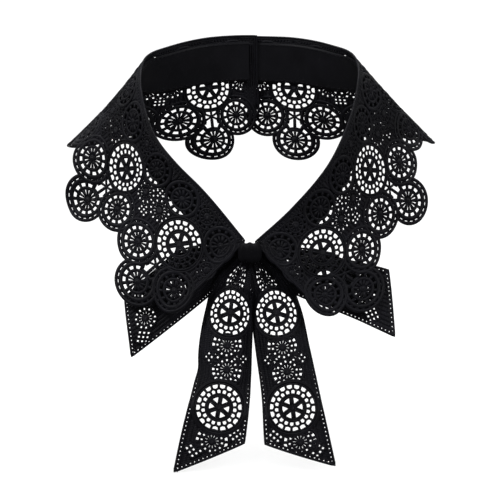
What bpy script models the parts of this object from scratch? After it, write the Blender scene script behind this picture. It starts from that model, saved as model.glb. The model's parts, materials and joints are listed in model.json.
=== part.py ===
"""Detachable lace collar with a tied bow front, as rigid solids.

A straight, scalloped lace band goes round the neck from the centre back, where its two ends
lap, to a point at the centre front. A plain ribbon is sewn inside its neck edge. A knot at the
point holds two long hanging tails and two short side tails, all cut from a straight lace strip.

World frame: metres, X to the wearer's left, Y to the wearer's back, Z up. The origin is the
middle of the neck opening, level with the neck edge at its sides.

Every cloth piece is drawn flat first, in its own pattern coordinates, and is then laid on a
curved surface and given its wall thickness.
"""
import math
from collections import namedtuple

import bpy
import numpy as np
from mathutils import Vector
from mathutils.geometry import delaunay_2d_cdt

MM = 0.001

# --- Driving sizes, in millimetres -------------------------------------------------------------
REPEAT = 57.5             # length of one pattern repeat along the band and along a tail
REPEATS_A_SIDE = 4
BAND_WIDTH = 80.0         # neck edge to the lowest scallop
FRONT_END = 229.0         # cut end of the band, measured along the neck edge
LAP = 5.0                 # how far the left end passes the centre back
FRONT_CORNER = 7.6        # corner cut off the band's end to make room for the knot

MEDALLION_DOWN = 33.5     # centre of the big medallion below the neck edge
WHEEL_RADIUS = 12.4       # hem wheels, to the outside of their cord
SHALLOW_WHEEL = (17.2, 53.2)   # offset along the band from the medallion, distance down
DEEP_WHEEL = (0.0, 68.2)

RIBBON_TOP = 4.5
# The ribbon's lower edge as distances along and down: 26 mm wide at the back, narrow in front.
RIBBON_BOTTOM = ((62.0, 30.5), (84.0, 28.0), (106.0, 22.0), (130.0, 18.0))
RIBBON_STARTS = {"left": 0.5, "right": 6.5}
RIBBON_FRONT_END = 221.0

TAIL_WIDTH = 37.0
CURL_START = 12.0         # a tail's edges start to curl back this far below the knot
CURL_RUN = 22.0
LACE_WALL = 1.4
RIBBON_WALL = 1.0
TAIL_WALL = 1.2
SEAM = 0.3                # clearance between pieces that are sewn or lie together

KNOT_SIZE = (11.0, 13.0, 11.0)   # across, down, deep
KNOT_CENTRE = (0.0, 5.5, -1.8)   # across, down the chest, out from it
KNOT_ROUNDING = 3.2

CHEST_POINT = (0.0, -54.5, -103.5)   # the front point of the neckline
CHEST_LEAN = 15.0                    # the chest plane leans back this many degrees

# Cut gaps: between the spokes of a medallion's star, in the net ring round it, and in the arch
# that joins the medallion to its deep wheel.
SPOKES = 6
SPOKE_GAP_INNER = 2.2
SPOKE_GAP_OUTER = 6.2
SPOKE_GAP_HALF_WIDTH = 2.7
NET_GAPS = 18
NET_INNER = 10.5
NET_OUTER = 13.8
NET_BAR = 0.9             # cord left between two net gaps
ARCH_INNER = 9.0
ARCH_OUTER = 12.9
ARCH_GAP_WIDTH = 4.1
ARCH_BAR = 0.9            # cord left between the two arch gaps

MESH_STEP = 8.5           # spacing of the points that shape a wall between its edges
EDGE_CLEAR = 2.5          # those points stay this far from an edge or a gap
ARC_STEPS = 8             # straight runs round one hem scallop
PROBE = 0.5               # step used to measure a surface's direction
LEAST_AREA = 0.001        # a flat triangle smaller than this lies along a straight edge

# --- The band on the wearer, one row for each section, from the centre back to the front -------
# along: distance on the neck edge. x, y, z: the neck edge, x counted outwards on its own side.
# turn, lean: where the cloth heads at the neck edge, as a compass turn from sideways (90 is
# backwards) and a slope from straight down. hem_turn, hem_lean: the same at the hem.
Section = namedtuple("Section", "along x y z turn lean hem_turn hem_lean")

BAND_SECTIONS = {
    "left": (
        Section(-LAP, -5.0, 52.1, 12.3, 90, 0, -150, 9),
        Section(8.0, 8.0, 52.0, 12.2, 90, 0, -150, 9),
        Section(28.75, 28.3, 48.6, 11.0, 115, 2, -140, 9),
        Section(57.5, 52.5, 30.0, 7.0, 40, 12, 35, 21),
        Section(80.0, 64.5, 11.0, 3.0, 28, 38, 24, 39),
        Section(98.0, 67.5, -1.5, -4.0, 30, 45, 12, 50),
        Section(115.0, 67.0, -12.5, -15.2, 30, 43, 0, 63),
        Section(145.0, 57.5, -29.5, -41.5, 38, 41, 0, 59),
        Section(167.0, 44.8, -38.0, -56.3, 28, 43, 2, 52),
        Section(187.0, 29.4, -44.0, -70.6, 8, 43, -4, 52),
        Section(FRONT_END, 0.5, -54.5, -103.5, -12, 47, -12, 47),
    ),
    "right": (
        Section(0.0, 0.0, 54.5, 11.5, 90, 0, -90, 5),
        Section(8.0, 8.0, 54.2, 11.4, 90, 0, -90, 5),
        Section(28.75, 28.9, 49.0, 11.0, 60, 2, -75, 9),
        Section(57.5, 52.5, 30.0, 8.0, 40, 12, 35, 22),
        Section(80.0, 64.5, 11.0, 4.0, 25, 42, 22, 42),
        Section(98.0, 67.5, -1.5, -4.0, 27, 46, 18, 50),
        Section(115.0, 65.5, -13.0, -17.5, 38, 42, 8, 59),
        Section(139.0, 59.0, -26.5, -36.5, 41, 39, 0, 60),
        Section(161.0, 49.0, -36.5, -55.5, 36, 42, 8, 53),
        Section(195.0, 26.0, -46.2, -81.9, 7, 41, 3, 51),
        Section(FRONT_END, 0.5, -54.5, -103.8, -14, 46, -10, 45),
    ),
}
BAND_SIDE = {"left": -1.0, "right": 1.0}

# --- The four tails, one row for each section, from the knot to the cut end ---------------------
# along: distance down the middle of the tail. across, down: that middle on the chest plane.
# out: distance in front of that plane. half: half the width that the section takes up.
# bend: how far both edges lie behind the middle. tip: rise of the lower edge over the middle.
# curl: most of the width that the tail may lose by curling its edges back, once it is clear of
# the knot. It is gathered for the rest.
TailSection = namedtuple("TailSection", "along across down out half bend tip")
Tail = namedtuple("Tail", "sections length_left length_right medallions curl")

TAILS = {
    "long_tail_left": Tail((
        TailSection(0.0, -4.3, 12.5, -2.6, 4.8, 0.3, 0.0),
        TailSection(15.0, -9.6, 27.2, -4.2, 11.0, 0.4, 0.0),
        TailSection(31.0, -13.2, 42.7, -3.0, 14.0, 0.5, 0.0),
        TailSection(55.0, -15.6, 66.6, -0.5, 15.8, 0.5, 0.0),
        TailSection(66.0, -15.9, 77.4, 0.6, 15.6, 0.4, 0.2),
        TailSection(77.0, -17.6, 88.4, 1.4, 17.0, 0.3, 0.4),
        TailSection(103.0, -22.2, 114.0, 2.6, 18.9, 1.0, 0.8),
        TailSection(136.0, -28.4, 146.4, 3.4, 19.6, 0.6, 1.2),
    ), 130.0, 104.5, (29.4, 86.9), 0.24),
    "long_tail_right": Tail((
        TailSection(0.0, 5.4, 12.5, -2.6, 4.2, 0.3, 0.0),
        TailSection(15.0, 11.8, 26.4, -4.2, 11.0, 0.4, 0.0),
        TailSection(31.0, 17.2, 41.5, -3.0, 14.0, 0.5, 0.0),
        TailSection(55.0, 20.8, 65.2, -0.5, 15.8, 0.5, 0.0),
        TailSection(78.0, 24.2, 88.0, 1.6, 17.4, 0.3, -0.4),
        TailSection(103.0, 27.6, 112.8, 3.2, 19.5, 0.9, -0.8),
        TailSection(134.0, 32.0, 143.5, 4.4, 20.7, 0.5, -1.0),
    ), 107.0, 125.5, (31.0, 88.5), 0.24),
    "side_tail_left": Tail((
        TailSection(0.0, -8.6, 7.5, -4.6, 4.6, 0.0, 0.0),
        TailSection(9.0, -16.2, 12.4, -7.4, 6.3, 0.0, 0.3),
        TailSection(21.0, -26.0, 18.8, -9.0, 8.8, 0.0, 1.0),
        TailSection(45.0, -46.3, 31.6, -8.6, 12.2, 0.0, 2.4),
        TailSection(69.0, -66.5, 44.6, -10.4, 15.4, 0.0, 4.0),
        TailSection(95.0, -88.4, 58.6, -12.4, 18.5, 0.0, 5.2),
    ), 71.5, 88.0, (41.0,), 0.08),
    "side_tail_right": Tail((
        TailSection(0.0, 7.8, 6.5, -4.6, 4.6, 0.0, 0.0),
        TailSection(9.0, 16.2, 9.7, -7.0, 6.3, 0.0, -0.3),
        TailSection(22.0, 28.5, 14.4, -7.6, 8.8, 0.0, -1.6),
        TailSection(46.0, 51.4, 23.2, -12.5, 12.4, 0.0, -3.8),
        TailSection(72.0, 76.4, 32.6, -19.7, 16.6, 0.0, -7.2),
        TailSection(96.0, 99.4, 41.8, -26.5, 19.2, 0.0, -9.5),
    ), 91.5, 72.3, (41.0,), 0.08),
}
# --- Finishes ----------------------------------------------------------------------------------
Finish = namedtuple("Finish", "colour roughness sheen")
FINISHES = {
    "lace thread": Finish((0.008, 0.008, 0.010), 0.62, 0.25),
    "neck ribbon": Finish((0.011, 0.011, 0.013), 0.42, 0.35),
    "knot cloth": Finish((0.009, 0.009, 0.011), 0.55, 0.30),
}


# --- Smooth curves through the tables ----------------------------------------------------------
def through_rows(rows, distance):
    """Cubic curve through the rows' columns, read at distances along, with the rows' own ends.

    The slope at a row is the mean of the slopes on its two sides, weighted to the nearer row.
    """
    table = np.array(rows, dtype=float)
    knots, values = table[:, 0], table[:, 1:]
    gaps = np.diff(knots)
    rise = np.diff(values, axis=0) / gaps[:, None]
    slopes = np.empty_like(values)
    weight = gaps[:, None]
    slopes[1:-1] = (rise[:-1] * weight[1:] + rise[1:] * weight[:-1]) / (weight[1:] + weight[:-1])
    slopes[0] = rise[0]
    slopes[-1] = rise[-1]
    distance = np.asarray(distance, dtype=float)
    row = np.clip(np.searchsorted(knots, distance, side="right") - 1, 0, len(gaps) - 1)
    part = ((distance - knots[row]) / gaps[row])[..., None]
    span = gaps[row][..., None]
    stay = (1 + 2 * part) * (1 - part) ** 2 * values[row]
    leave = part * (1 - part) ** 2 * span * slopes[row]
    reach = part ** 2 * (3 - 2 * part) * values[row + 1]
    arrive = part ** 2 * (part - 1) * span * slopes[row + 1]
    return stay + leave + reach + arrive


def heading(turn, lean):
    """Unit direction from a compass turn and a slope away from straight down, in degrees."""
    turn, lean = np.radians(turn), np.radians(lean)
    out = np.sin(lean)
    return np.stack([out * np.cos(turn), out * np.sin(turn), -np.cos(lean)], axis=-1)


def unit(vectors):
    return vectors / np.linalg.norm(vectors, axis=-1, keepdims=True)


# --- Surfaces that the flat pieces are laid on --------------------------------------------------
def band_surface(side):
    """The band's middle surface: neck edge plus a cross line that bends from neck to hem.

    The cross line starts in the section's heading and turns smoothly to its hem heading, so a
    point is edge + neck * down + (hem - neck) * width * (t^3 - t^4 / 2), where t = down / width.
    """
    sections = BAND_SECTIONS[side]
    rows = []
    for section in sections:
        neck = heading(section.turn, section.lean)
        hem = heading(section.hem_turn, section.hem_lean)
        rows.append((section.along, section.x, section.y, section.z, *neck, *hem))
    mirror = np.array([BAND_SIDE[side], 1.0, 1.0])

    def place(along, down):
        values = through_rows(rows, along)
        neck = unit(values[..., 3:6])
        hem = unit(values[..., 6:9])
        down = np.asarray(down, dtype=float)[..., None]
        part = down / BAND_WIDTH
        bend = BAND_WIDTH * (part ** 3 - part ** 4 / 2)
        return (values[..., 0:3] + neck * down + (hem - neck) * bend) * mirror

    return place


def chest_frame():
    """Across, down and out directions of the chest plane."""
    lean = math.radians(CHEST_LEAN)
    across = np.array([1.0, 0.0, 0.0])
    down = np.array([0.0, -math.sin(lean), -math.cos(lean)])
    out = np.array([0.0, -math.cos(lean), math.sin(lean)])
    return across, down, out


def tail_surface(name):
    """A tail's middle surface: a middle line on the chest plane and a cross line square to it.

    The cross line is an arc of the flat width, curled back until it is as wide as the section or
    as the tail's curl allows, and is gathered evenly for the rest. Then the edges fall back by the
    bend times the square of the distance out, and one edge rises by the tip.
    """
    rows = TAILS[name].sections
    most = TAILS[name].curl
    across, down, out = chest_frame()

    def place(along, side):
        along = np.asarray(along, dtype=float)
        here = through_rows(rows, along)
        ahead = through_rows(rows, along + PROBE)[..., :2]
        behind = through_rows(rows, along - PROBE)[..., :2]
        course = unit(ahead - behind)
        cross = np.stack([course[..., 1], -course[..., 0]], axis=-1)
        part = np.asarray(side, dtype=float) / (TAIL_WIDTH / 2)
        clear = np.clip((along - CURL_START) / CURL_RUN, 0.0, 1.0)
        allowed = 0.0001 + most * clear ** 2 * (3 - 2 * clear)
        lost = np.clip(1.0 - here[..., 3] / (TAIL_WIDTH / 2), 0.0001, allowed)
        angle = np.sqrt(6.0 * lost * (1.0 + 0.3 * lost))
        radius = here[..., 3] / (1.0 - lost) / angle
        reach = radius * np.sin(part * angle)
        fall = radius * (1.0 - np.cos(part * angle))
        flat = here[..., :2] + cross * reach[..., None]
        rise = here[..., 2] - fall - here[..., 4] * part ** 2 + here[..., 5] * part
        point = flat[..., 0:1] * across + flat[..., 1:2] * down + rise[..., None] * out
        return point + np.array(CHEST_POINT)

    return place


def outward(place, u, v, towards):
    """Unit normals of a surface, on the side that faces the given direction or point."""
    along = place(u + PROBE, v) - place(u - PROBE, v)
    cross = place(u, v + PROBE) - place(u, v - PROBE)
    normal = unit(np.cross(along, cross))
    side = np.sign(np.sum(normal * towards, axis=-1, keepdims=True))
    return normal * np.where(side == 0, 1.0, side)


# --- Flat shapes --------------------------------------------------------------------------------
def circle_meeting(first, second):
    """Lower meeting point of two equal hem wheels, by their centres (along, down)."""
    middle = (np.array(first) + np.array(second)) / 2
    step = np.array(second) - np.array(first)
    half = np.linalg.norm(step) / 2
    square = np.array([-step[1], step[0]]) / (2 * half)
    return middle + square * math.sqrt(WHEEL_RADIUS ** 2 - half ** 2)


def hem_wheels():
    """Centres of the wheels that make the hem, in order along the band."""
    centres = []
    for repeat in range(REPEATS_A_SIDE):
        middle = REPEAT * (repeat + 0.5)
        centres.append((middle - SHALLOW_WHEEL[0], SHALLOW_WHEEL[1]))
        centres.append((middle + DEEP_WHEEL[0], DEEP_WHEEL[1]))
        centres.append((middle + SHALLOW_WHEEL[0], SHALLOW_WHEEL[1]))
    return centres


def wheel_edge(centre, along):
    """Point on a wheel's lower edge at a distance along the band."""
    return (along, centre[1] + math.sqrt(max(WHEEL_RADIUS ** 2 - (along - centre[0]) ** 2, 0.0)))


def hem_outline(start, end):
    """Points along the scalloped hem, from the start of the band to its end."""
    wheels = hem_wheels()
    first = max(start, wheels[0][0] - WHEEL_RADIUS * 0.98)
    stops = [np.array(wheel_edge(wheels[0], first))]
    for one, other in zip(wheels, wheels[1:]):
        stops.append(circle_meeting(one, other))
    stops.append(np.array(wheel_edge(wheels[-1], end)))
    points = []
    for centre, enter, leave in zip(wheels, stops, stops[1:]):
        begin = math.atan2(enter[1] - centre[1], enter[0] - centre[0])
        finish = math.atan2(leave[1] - centre[1], leave[0] - centre[0])
        if begin < finish:
            begin += 2 * math.pi
        for step in range(ARC_STEPS):
            angle = begin + (finish - begin) * step / ARC_STEPS
            points.append((centre[0] + WHEEL_RADIUS * math.cos(angle),
                           centre[1] + WHEEL_RADIUS * math.sin(angle)))
    points.append(tuple(stops[-1]))
    return points


def band_outline(start):
    """Outline of one half of the band: neck edge, front end, hem and back end."""
    hem = hem_outline(start, FRONT_END)
    corner = [(start, 0.0), (FRONT_END - FRONT_CORNER, 0.0), (FRONT_END, FRONT_CORNER)]
    back_end = []
    if start < hem[0][0] - SEAM:
        back_end = [(start, hem[0][1] - LAP)]
    return corner + hem[::-1] + back_end


def star_gaps(centre):
    """The triangular gaps between the spokes of a medallion's star."""
    gaps = []
    for spoke in range(SPOKES):
        angle = 2 * math.pi * (spoke + 0.5) / SPOKES
        spread = math.atan2(SPOKE_GAP_HALF_WIDTH, SPOKE_GAP_OUTER)
        corners = ((SPOKE_GAP_INNER, angle), (SPOKE_GAP_OUTER, angle - spread),
                   (SPOKE_GAP_OUTER, angle + spread))
        gaps.append([polar(centre, radius, turn) for radius, turn in corners])
    return gaps


def net_gaps(centre):
    """The ring of net gaps between a medallion's two outer cords."""
    return ring_gaps(centre, NET_GAPS, NET_INNER, NET_OUTER, NET_BAR)


def arch_gaps(centre):
    """The two large gaps over a deep wheel, between it and the medallion."""
    gaps = []
    for side in (-1.0, 1.0):
        middle = -math.pi / 2 + side * math.asin((ARCH_GAP_WIDTH + ARCH_BAR) / 2 / ARCH_INNER)
        near = math.asin(ARCH_GAP_WIDTH / 2 / ARCH_INNER)
        far = math.asin(ARCH_GAP_WIDTH / 2 / ARCH_OUTER)
        corners = ((ARCH_INNER, middle - near), (ARCH_OUTER, middle - far),
                   (ARCH_OUTER, middle + far), (ARCH_INNER, middle + near))
        gaps.append([polar(centre, radius, turn) for radius, turn in corners])
    return gaps


def ring_gaps(centre, count, inner, outer, bar):
    """Four-sided gaps evenly round a ring, with a bar of cord between each two."""
    gaps = []
    for gap in range(count):
        angle = 2 * math.pi * gap / count
        near = math.pi / count - bar / 2 / inner
        far = math.pi / count - bar / 2 / outer
        corners = ((inner, angle - near), (outer, angle - far),
                   (outer, angle + far), (inner, angle + near))
        gaps.append([polar(centre, radius, turn) for radius, turn in corners])
    return gaps


def polar(centre, radius, angle):
    return (centre[0] + radius * math.cos(angle), centre[1] + radius * math.sin(angle))


def tail_outline(tail):
    """Outline of a tail: narrow top, straight edges and an oblique cut end."""
    half = TAIL_WIDTH / 2
    edge = []
    for length, side in ((tail.length_left, -half), (tail.length_right, half)):
        steps = max(2, round(length / MESH_STEP))
        run = [(length * step / steps, side) for step in range(steps + 1)]
        edge.append(run)
    return edge[0] + edge[1][::-1]


def subdivided(points, spacing):
    """The closed outline with extra points on its long straight runs."""
    result = []
    for here, there in zip(points, points[1:] + points[:1]):
        count = max(1, round(math.dist(here, there) / spacing))
        for step in range(count):
            part = step / count
            result.append((here[0] + (there[0] - here[0]) * part,
                           here[1] + (there[1] - here[1]) * part))
    return result


def inside(points, polygon):
    """True for each point that lies inside the polygon, by counting crossed edges."""
    polygon = np.array(polygon)
    ahead = np.roll(polygon, -1, axis=0)
    x, y = points[:, 0:1], points[:, 1:2]
    crosses = (polygon[:, 1] > y) != (ahead[:, 1] > y)
    rise = np.where(ahead[:, 1] == polygon[:, 1], 1.0, ahead[:, 1] - polygon[:, 1])
    at = polygon[:, 0] + (y - polygon[:, 1]) * (ahead[:, 0] - polygon[:, 0]) / rise
    return np.sum(crosses & (x < at), axis=1) % 2 == 1


def distance_to_edges(points, polygon):
    """Least distance from each point to the polygon's edges."""
    start = np.array(polygon)
    step = np.roll(start, -1, axis=0) - start
    offset = points[:, None, :] - start[None, :, :]
    part = np.clip(np.sum(offset * step, axis=2) / np.sum(step * step, axis=1), 0.0, 1.0)
    return np.min(np.linalg.norm(offset - part[..., None] * step, axis=2), axis=1)


def inner_points(outline, gaps):
    """Staggered grid of points inside the outline and clear of its edges and gaps."""
    corners = np.array(outline)
    low, high = corners.min(axis=0), corners.max(axis=0)
    rows = np.arange(low[1] + MESH_STEP / 2, high[1], MESH_STEP * math.sqrt(3) / 2)
    columns = np.arange(low[0] + MESH_STEP / 2, high[0], MESH_STEP)
    x, y = np.meshgrid(columns, rows)
    x = x + (np.arange(len(rows)) % 2)[:, None] * MESH_STEP / 2
    points = np.stack([x.ravel(), y.ravel()], axis=1)
    keep = inside(points, outline) & (distance_to_edges(points, outline) > EDGE_CLEAR)
    for gap in gaps:
        keep &= ~inside(points, gap) & (distance_to_edges(points, gap) > EDGE_CLEAR)
    return points[keep]


def flat_triangles(loops, points):
    """Corners and triangles that fill the area round the loops, with each loop as edges."""
    corners, edges = [], []
    for loop in loops:
        first = len(corners)
        corners.extend(loop)
        count = len(loop)
        edges.extend((first + i, first + (i + 1) % count) for i in range(count))
    corners.extend(map(tuple, points))
    flat = [Vector(corner) for corner in corners]
    filled = delaunay_2d_cdt(flat, edges, [], 0, 1e-4)
    corners = np.array([tuple(point) for point in filled[0]])
    return corners, np.array([face for face in filled[2] if len(face) == 3])


def cut_out(corners, faces, outline, gaps):
    """The triangles that have an area, and lie inside the outline and outside every gap."""
    shape = corners[faces]
    middles = shape.mean(axis=1)
    one, other = shape[:, 1] - shape[:, 0], shape[:, 2] - shape[:, 0]
    area = np.abs(one[:, 0] * other[:, 1] - one[:, 1] * other[:, 0]) / 2
    keep = inside(middles, outline) & (area > LEAST_AREA)
    for gap in gaps:
        keep &= ~inside(middles, gap)
    return faces[keep]


# --- Solids -------------------------------------------------------------------------------------
def cloth_wall(name, corners, faces, place, towards, offset, wall, finish):
    """Solid wall of cloth: flat triangles laid on a surface, one face out and one face in.

    The wall's middle stands off the surface by the offset, along the surface's own normals.
    """
    used, faces = np.unique(faces, return_inverse=True)
    faces = faces.reshape(-1, 3)
    u, v = corners[used].T
    middle = place(u, v)
    normal = outward(place, u, v, towards(middle))
    outer = middle + normal * (offset + wall / 2)
    inner = middle + normal * (offset - wall / 2)
    corner = outer[faces]
    facing = np.cross(corner[:, 1] - corner[:, 0], corner[:, 2] - corner[:, 0])
    wrong = np.sum(facing * normal[faces[:, 0]], axis=1) < 0
    faces[wrong] = faces[wrong][:, ::-1]
    count = len(used)
    shell = [tuple(face) for face in faces] + [tuple(face[::-1] + count) for face in faces]
    shell.extend(rim_faces(faces, count))
    add_solid(name, np.concatenate([outer, inner]), shell, finish)


def rim_faces(faces, count):
    """Two triangles for each free edge of the outer face, down to its twin on the inner face."""
    directed = {(a, b) for face in faces.tolist() for a, b in zip(face, face[1:] + face[:1])}
    rim = []
    for a, b in sorted(directed):
        if (b, a) not in directed:
            rim.append((b, a, a + count))
            rim.append((b, a + count, b + count))
    return rim


def add_solid(name, points, faces, finish):
    mesh = bpy.data.meshes.new(name)
    mesh.from_pydata((points * MM).tolist(), [], faces)
    mesh.validate()
    mesh.materials.append(material(finish))
    mesh.update()
    thing = bpy.data.objects.new(name, mesh)
    bpy.context.collection.objects.link(thing)
    return thing


def material(finish):
    """The named finish as a Principled material, made once."""
    known = bpy.data.materials.get(finish)
    if known:
        return known
    values = FINISHES[finish]
    made = bpy.data.materials.new(finish)
    made.use_nodes = True
    shader = made.node_tree.nodes["Principled BSDF"]
    shader.inputs["Base Color"].default_value = (*values.colour, 1.0)
    shader.inputs["Roughness"].default_value = values.roughness
    shader.inputs["Sheen Weight"].default_value = values.sheen
    shader.inputs["Metallic"].default_value = 0.0
    made.diffuse_color = (*values.colour, 1.0)
    return made


def from_neck(middle):
    """Directions that point away from the neck's axis, for the band and its ribbon."""
    away = middle.copy()
    away[:, 2] = 0.0
    return away + np.array([0.0, 0.0, 20.0])


def from_chest(middle):
    out = chest_frame()[2]
    return np.broadcast_to(out, middle.shape)


def make_band(side):
    """Half of the lace band with half of the ribbon that is sewn inside its neck edge.

    Both are made from the same flat triangles, so the ribbon follows the lace at a set distance.
    """
    start = -LAP if side == "left" else 0.0
    outline = subdivided(band_outline(start), MESH_STEP)
    tape = [(RIBBON_STARTS[side], RIBBON_TOP), (RIBBON_FRONT_END, RIBBON_TOP),
            (RIBBON_FRONT_END, RIBBON_BOTTOM[-1][1]), *RIBBON_BOTTOM[::-1],
            (RIBBON_STARTS[side], RIBBON_BOTTOM[0][1])]
    tape = subdivided(tape, MESH_STEP)
    gaps = []
    for repeat in range(REPEATS_A_SIDE):
        middle = REPEAT * (repeat + 0.5)
        gaps.extend(star_gaps((middle, MEDALLION_DOWN)))
        gaps.extend(net_gaps((middle, MEDALLION_DOWN)))
        gaps.extend(arch_gaps((middle + DEEP_WHEEL[0], DEEP_WHEEL[1])))
    points = inner_points(outline, [*gaps, tape])
    corners, faces = flat_triangles([outline, tape, *gaps], points)
    place = band_surface(side)
    lace = cut_out(corners, faces, outline, gaps)
    cloth_wall("lace_band_" + side, corners, lace, place, from_neck, 0.0, LACE_WALL,
               "lace thread")
    ribbon = cut_out(corners, faces, tape, [])
    offset = -(LACE_WALL / 2 + SEAM + RIBBON_WALL / 2)
    cloth_wall("neck_ribbon_" + side, corners, ribbon, place, from_neck, offset, RIBBON_WALL,
               "neck ribbon")


def make_tail(name):
    tail = TAILS[name]
    outline = tail_outline(tail)
    gaps = []
    for distance in tail.medallions:
        gaps.extend(star_gaps((distance, 0.0)))
    corners, faces = flat_triangles([outline, *gaps], inner_points(outline, gaps))
    faces = cut_out(corners, faces, outline, gaps)
    cloth_wall(name, corners, faces, tail_surface(name), from_chest, 0.0, TAIL_WALL,
               "lace thread")


def make_knot():
    """Rounded pad of wrapped cloth, set square to the chest plane."""
    across, down, out = chest_frame()
    half = [size / 2 for size in KNOT_SIZE]
    steps = np.linspace(-1.0, 1.0, 7)
    corners, faces = cube_grid(steps)
    inner = np.clip(corners, -1.0, 1.0) * (np.array(half) - KNOT_ROUNDING)
    shell = inner + unit(corners ** 3) * KNOT_ROUNDING
    place = KNOT_CENTRE[0] * across + KNOT_CENTRE[1] * down + KNOT_CENTRE[2] * out
    points = (np.array(CHEST_POINT) + place + shell[:, 0:1] * across
              + shell[:, 1:2] * down + shell[:, 2:3] * out)
    add_solid("bow_knot", points, faces, "knot cloth")


def cube_grid(steps):
    """Points and outward quads of a cube from -1 to 1, with the given steps along each edge."""
    count = len(steps)
    index = {}
    corners, faces = [], []

    def corner(point):
        key = tuple(round(value, 6) for value in point)
        if key not in index:
            index[key] = len(corners)
            corners.append(key)
        return index[key]

    for axis in range(3):
        for end in (-1.0, 1.0):
            for i in range(count - 1):
                for j in range(count - 1):
                    quad = []
                    for a, b in ((i, j), (i + 1, j), (i + 1, j + 1), (i, j + 1)):
                        point = [0.0, 0.0, 0.0]
                        point[axis] = end
                        point[(axis + 1) % 3] = steps[a]
                        point[(axis + 2) % 3] = steps[b]
                        quad.append(corner(point))
                    faces.append(quad if end < 0 else quad[::-1])
    return np.array(corners), faces


def main():
    for thing in list(bpy.data.objects):
        bpy.data.objects.remove(thing, do_unlink=True)
    for side in ("left", "right"):
        make_band(side)
    for name in TAILS:
        make_tail(name)
    make_knot()


main()
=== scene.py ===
"""Dresses the lace collar with a tied bow front: corded lace, neck ribbon, tails, knot and stage."""
import json
import math
from collections import namedtuple

import bpy
import numpy as np
from bpy.props import FloatProperty, FloatVectorProperty, IntProperty, PointerProperty
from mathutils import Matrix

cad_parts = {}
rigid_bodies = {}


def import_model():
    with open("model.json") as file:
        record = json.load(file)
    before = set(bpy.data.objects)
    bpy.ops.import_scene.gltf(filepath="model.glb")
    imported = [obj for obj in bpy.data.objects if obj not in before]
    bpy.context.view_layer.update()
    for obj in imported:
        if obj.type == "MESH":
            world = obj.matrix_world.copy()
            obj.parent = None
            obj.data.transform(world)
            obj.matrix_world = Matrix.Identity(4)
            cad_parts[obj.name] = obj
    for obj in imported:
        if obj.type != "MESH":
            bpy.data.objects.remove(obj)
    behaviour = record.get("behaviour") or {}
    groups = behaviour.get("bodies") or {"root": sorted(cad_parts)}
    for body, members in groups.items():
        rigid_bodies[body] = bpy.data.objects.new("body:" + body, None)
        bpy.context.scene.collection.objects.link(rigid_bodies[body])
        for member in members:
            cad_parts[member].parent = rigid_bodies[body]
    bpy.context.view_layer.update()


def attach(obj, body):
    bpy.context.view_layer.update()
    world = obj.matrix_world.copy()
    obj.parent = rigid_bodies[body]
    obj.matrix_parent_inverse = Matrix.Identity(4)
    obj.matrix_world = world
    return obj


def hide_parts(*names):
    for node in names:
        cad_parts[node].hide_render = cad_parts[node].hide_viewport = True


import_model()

bl_info = {
    "name": "Lace collar with a tied bow front",
    "version": (1, 0, 0),
    "blender": (4, 5, 0),
    "location": "View3D > Sidebar > Lace collar",
    "description": "Makes the corded lace, ribbon, tails and knot of a detachable collar",
    "category": "Add Mesh",
}

MM = 0.001
SIDES = ("left", "right")

# --- The flat pattern, in millimetres: along the strip, then down from the neck edge -------------
REPEAT = 57.5
REPEATS_A_SIDE = 4
BAND_WIDTH = 80.0        # neck edge to the lowest scallop
FRONT_END = 229.0        # cut end of the band, along the neck edge
CORNER = 1.6             # corner cut off that end by the knot
LAP = 5.0                # how far the left end passes the centre back
EASE = 7.0               # stretch before the front end where the pattern is eased in
MEDALLION_DOWN = 33.5
MEDALLION_EDGE = 15.6
WHEEL_EDGE = 11.55
WHEEL_RIM = 12.85
BROAD_RING = (10.15, 2.65)  # radius and width of a wheel's broad ring
SMALL_WHEEL_EDGE = 7.0
SLIT_EDGE = 9.9
FILLER_EDGE = 4.3
# Places of motifs in a repeat: to the side of its middle, and down from the neck edge.
TOP_WHEEL = (17.2, 14.0)
SHALLOW_WHEEL = (17.2, 53.2)
DEEP_WHEEL = (0.0, 68.2)
SMALL_WHEEL = (21.85, 30.0)
TOP_SMALL_WHEEL = (0.0, 9.4)
FILLER = (0.0, 52.9)
NET_BLOCKS = (22.4, 37.9)   # down, both on the line between two repeats
NET_HOLES = 3               # each way in a block of net
SATIN_STEP = 2.4            # length of one stitch of the filled ground
SATIN_WIDTH = 1.4           # as a share of its pitch, so that the stitches overlap
SATIN_HEIGHT = 0.36         # as a share of the lace's thickness
PADDED_FROM = 0.88          # cords of this share of the thickness count as padded
SATIN_DOWN = 68.0           # lowest line of the band's filled ground
# The hem's ripple grows between the first distances down and along, and dies out by the last.
RIPPLE_DOWN, RIPPLE_STARTS, RIPPLE_ENDS = (32.0, 72.0), (14.0, 34.0), (165.0, 200.0)

TAIL_WIDTH = 37.0
TAIL_RAIL = 15.9
TAIL_HIDDEN = 5.0        # length of each tail that runs up into the knot
TAIL_NET_STRETCH = 1.18  # the net of the tails is wider than that of the band
STAR_EDGE = 9.2          # the side tails keep only the star and rings of their medallion
STAR_CORDS = 5           # and these are the first cords of a medallion
CURL_STARTS = (12.0, 34.0)  # lengths below the knot between which the edges begin to curl
PLEATED = 34.0           # length below the knot in which the pleats run out
RIBBON_TOP = 4.5
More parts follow.
